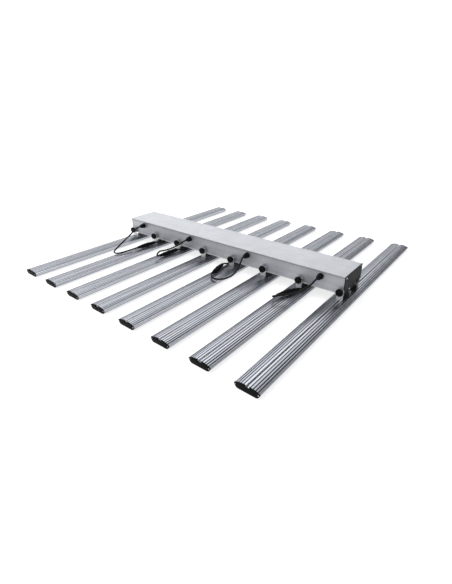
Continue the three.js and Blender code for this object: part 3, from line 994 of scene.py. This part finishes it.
def gland(name, node, place):
    """Washer, hexagon flange, ribbed clamping nut and rubber seal outside, thread and locknut inside."""
    bm = bmesh.new()
    washer = [(7.7, 0.02), (10.2, 0.02), (10.4, 0.3), (10.2, 0.6), (7.7, 0.6)]
    turned(bm, washer + washer[:1], place, sides=36, material=1)
    flange = [(7.7, 0.6), (10.2, 0.6, 1), (11, 1.1, 1), (11, 5.0, 1), (10.4, 5.5, 1), (7.6, 5.5)]
    turned(bm, flange, place, sides=48, shape=hexagon)
    nut = [
        (7.6, 5.5),
        (8.5, 6.0),
        (8.9, 6.5, 0.6),
        (8.9, 12.2, 1),
        (8.6, 13.4, 1),
        (7.6, 16.4, 0.6),
        (6.6, 18.3, 0.2),
        (5.6, GLAND_REACH - 0.1),
        (4.6, GLAND_REACH),
        (4.4, GLAND_REACH - 0.6),
        (4.3, 15),
    ]
    turned(bm, nut, place, sides=72, shape=fluted(18, 0.06))
    seal = [(4.3, 17.6), (4.0, 18.7), (3.5, 18.9), (3.25, 18.4), (0, 18.3)]
    turned(bm, seal, place, sides=36, material=1)
    inside = [(0, -8), (6.2, -8), (6.4, -7.6), (7.5, -7.3), (7.5, 0.2)]
    turned(bm, inside, place, sides=36)
    locknut = [
        (7.5, -2.9), (10.2, -2.9, 1), (10.5, -3.2, 1),
        (10.5, -5.5, 1), (10.2, -5.8, 1), (7.5, -5.8),
    ]
    turned(bm, locknut, place, sides=48, shape=hexagon)
    piece(name, recalculated(bm), [GLAND_PLASTIC, JACKET], replaces=[node])


for index, x in enumerate(GLAND_X, 1):
    gland(f"gland_{index}", f"output_gland_{index}", looking((0, -1, 0), (x, FRONT_Y, GLAND_Z)))
gland("gland_mains", "mains_gland", looking((-1, 0, 0), MAINS_GLAND))

# ---- Leads ----


def strain_relief(outer, inner, low, high, rings):
    """Rows of a tapered sleeve with moulded rings, thin at the low end and thick at the high end."""
    rows = []
    for i in range(rings):
        for share, inset in ((0.0, 0.55), (0.12, 0.0), (0.58, 0.0), (0.7, 0.55)):
            t = (i + share) / rings
            rows.append((inner + (outer - inner) * t - inset, low + (high - low) * t))
    return rows


CONNECTOR_HALF = 43
RELIEF_END = 27
RELIEF_RINGS = 5
# The raised dots that show how the two bodies go together: how far out they start, and where they are.
KEY_DOTS = {"from_axis": 7.4, "heights": (-16, 17)}


def connector_profile():
    """Socket body, coupling ring and plug body, between two ringed strain reliefs."""
    near = strain_relief(6.6, 4.9, -CONNECTOR_HALF, -RELIEF_END, RELIEF_RINGS)
    far = strain_relief(6.4, 4.9, -CONNECTOR_HALF, -RELIEF_END, RELIEF_RINGS)
    socket = [
        (6.7, -26.6), (7.4, -24.2), (7.7, -22.6), (7.7, -8.4), (7.3, -7.8), (7.3, -5.4), (7.7, -4.9),
    ]
    ring = [(8.5, -4.2, 1), (8.6, -3.6, 1), (8.6, 8.4, 1), (8.5, 9.0, 1), (7.6, 9.6)]
    plug = [(7.2, 9.8), (7.2, 11.2), (7.5, 11.6), (7.5, 22.4), (7.2, 24.2), (6.5, 26.6)]
    first = [(3.3, -CONNECTOR_HALF), (4.6, -CONNECTOR_HALF)]
    last = [(4.6, CONNECTOR_HALF), (3.3, CONNECTOR_HALF)]
    return first + near + socket + ring + plug + [(r, -h) for r, h in reversed(far)] + last


def connector(index, lead):
    """Two bodies joined by a knurled coupling ring, each ending in a ringed strain relief."""
    start, end = (Vector(p) for p in lead["connector"])
    place = looking(end - start, (start + end) / 2)
    bm = bmesh.new()
    turned(bm, connector_profile(), place, sides=72, shape=fluted(24, 0.05))
    dot = [(0.9, 0), (0.9, 0.5), (0.6, 0.8), (0, 0.85)]
    outwards = Matrix.Rotation(-math.pi / 2, 4, "X")
    for height in KEY_DOTS["heights"]:
        spot = Matrix.Translation((0, KEY_DOTS["from_axis"], height))
        turned(bm, dot, place @ spot @ outwards, sides=16)
    return piece(
        f"connector_{index}", recalculated(bm), [CONNECTOR_PLASTIC],
        replaces=[f"lead_connector_{index}"], smooth=40,
    )


def lead_cord(index, lead, with_pieces):
    """A lead's jacket along its whole route."""
    points = centripetal(lead_points(lead))
    data = bpy.data.curves.new(f"cord_{index}", "CURVE")
    data.dimensions = "3D"
    spline = data.splines.new("POLY")
    spline.points.add(len(points) - 1)
    for target, p in zip(spline.points, points):
        target.co = (*(p * MM), 1)
    data.bevel_depth = CORD_DIAMETER / 2 * MM
    data.bevel_resolution = 6
    data.use_fill_caps = True
    data.materials.append(JACKET)
    cord = bpy.data.objects.new(f"cord_{index}", data)
    bpy.context.scene.collection.objects.link(cord)
    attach(cord, FRAME_BODY)
    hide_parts(f"lead_cord_{index}")


def entry_grommet(index, lead):
    """The rubber bush where the tail goes down into the bar's top."""
    x = bar_x(lead["bar"]) + lead["side"] * TAIL[-1][0]
    y = TAIL[-1][1]
    floor = dome_z(TAIL[-1][0])
    profile = [
        (0, 0.1), (6.5, 0.1), (6.5, 1.0), (6.1, 1.5),
        (4.9, 1.9), (4.4, 4.4), (3.9, 4.8), (3.2, 4.8),
    ]
    bm = bmesh.new()
    turned(bm, profile, Matrix.Translation((x, y, floor)), sides=36)
    piece(f"entry_grommet_{index}", recalculated(bm), [JACKET])


for index, lead in enumerate(LEADS, 1):
    lead_cord(index, lead, [connector(index, lead)])
    entry_grommet(index, lead)

# ---- Studio ----

FLOOR_TONE = (0.6, 0.6, 0.6)
FLOOR_GLOW = 0.62
FLOOR_HALF_SIZE = 60
FLOOR_DROP = 0.0002
SKY_DIM = 0.3
# Each light: the direction it comes from, the cosines of the angles from there at which it starts and
# at which it is full, and how much it adds to the sky.
BACK_LIGHT = ((-0.75, 0.5, 0.43), 0.5, 0.86, 1.4)
FRONT_LIGHT = ((-0.30, -0.89, 0.34), 0.1, 0.95, 1.05)
# The lit foot of the backdrop: the heights at which it starts to fade and is gone, and what it adds.
HORIZON = (0.19, 0.25, 0.75)
KEY_LIGHT = {"place": (-1.6, -0.6, 2.6), "size": (2.4, 1.6), "power": 22}


def studio_floor():
    """A wide pale floor with a soft mottle and a glow of its own, a hair below the bars."""
    m = Finish("studio_floor", metallic=0.0, roughness=0.8, specular=0.05)
    mottle = m.noise(m.place, scale=3, detail=3)
    lighter = tuple(c * 1.02 for c in FLOOR_TONE)
    m.set("Base Color", m.colours(mottle, [(0.3, FLOOR_TONE), (0.7, lighter)]))
    m.shader.inputs["Emission Color"].default_value = (1, 1, 1, 1)
    m.shader.inputs["Emission Strength"].default_value = FLOOR_GLOW
    bm = bmesh.new()
    bmesh.ops.create_grid(bm, x_segments=2, y_segments=2, size=FLOOR_HALF_SIZE)
    mesh = bpy.data.meshes.new("studio_floor")
    bm.to_mesh(mesh)
    bm.free()
    mesh.materials.append(m.material)
    floor = bpy.data.objects.new("studio_floor", mesh)
    floor.location.z = -FLOOR_DROP
    bpy.context.scene.collection.objects.link(floor)


def sky_light(tree, place, light):
    """How much one broad light adds to the sky in each direction."""
    direction, start, full, level = light
    facing = tree.nodes.new("ShaderNodeVectorMath")
    facing.operation = "DOT_PRODUCT"
    facing.inputs[1].default_value = Vector(direction).normalized()
    tree.links.new(place, facing.inputs[0])
    return mapped(tree, facing.outputs["Value"], (start, full, 0, level), smooth=True)


def horizon_glow(tree, place):
    """The lit foot of the backdrop: bright at the horizon and gone a little above it."""
    parts = tree.nodes.new("ShaderNodeSeparateXYZ")
    tree.links.new(place, parts.inputs["Vector"])
    low, high, level = HORIZON
    return mapped(tree, parts.outputs["Z"], (low, high, level, 0), smooth=True)


def studio_sky():
    """A dim white room with a lit backdrop foot and broad lights behind and in front on the left."""
    world = bpy.data.worlds.new("studio")
    bpy.context.scene.world = world
    world.use_nodes = True
    tree = world.node_tree
    place = tree.nodes.new("ShaderNodeTexCoord").outputs["Generated"]
    level = SKY_DIM
    for light in (BACK_LIGHT, FRONT_LIGHT):
        level = calculated(tree, "ADD", sky_light(tree, place, light), level)
    level = calculated(tree, "ADD", horizon_glow(tree, place), level)
    tree.links.new(level, tree.nodes["Background"].inputs["Strength"])
    tree.nodes["Background"].inputs["Color"].default_value = (1, 1, 1, 1)


def key_light():
    """A large softbox above on the left, turned to the middle of the part."""
    data = bpy.data.lights.new("key_light", "AREA")
    data.shape = "RECTANGLE"
    data.size, data.size_y = KEY_LIGHT["size"]
    data.energy = KEY_LIGHT["power"]
    light = bpy.data.objects.new("key_light", data)
    bpy.context.scene.collection.objects.link(light)
    place = Vector(KEY_LIGHT["place"])
    light.location = place
    light.rotation_euler = (-place).to_track_quat("-Z", "Y").to_euler()


studio_floor()
studio_sky()
key_light()

view = bpy.context.scene.view_settings
view.view_transform = "Standard"
view.look = "None"
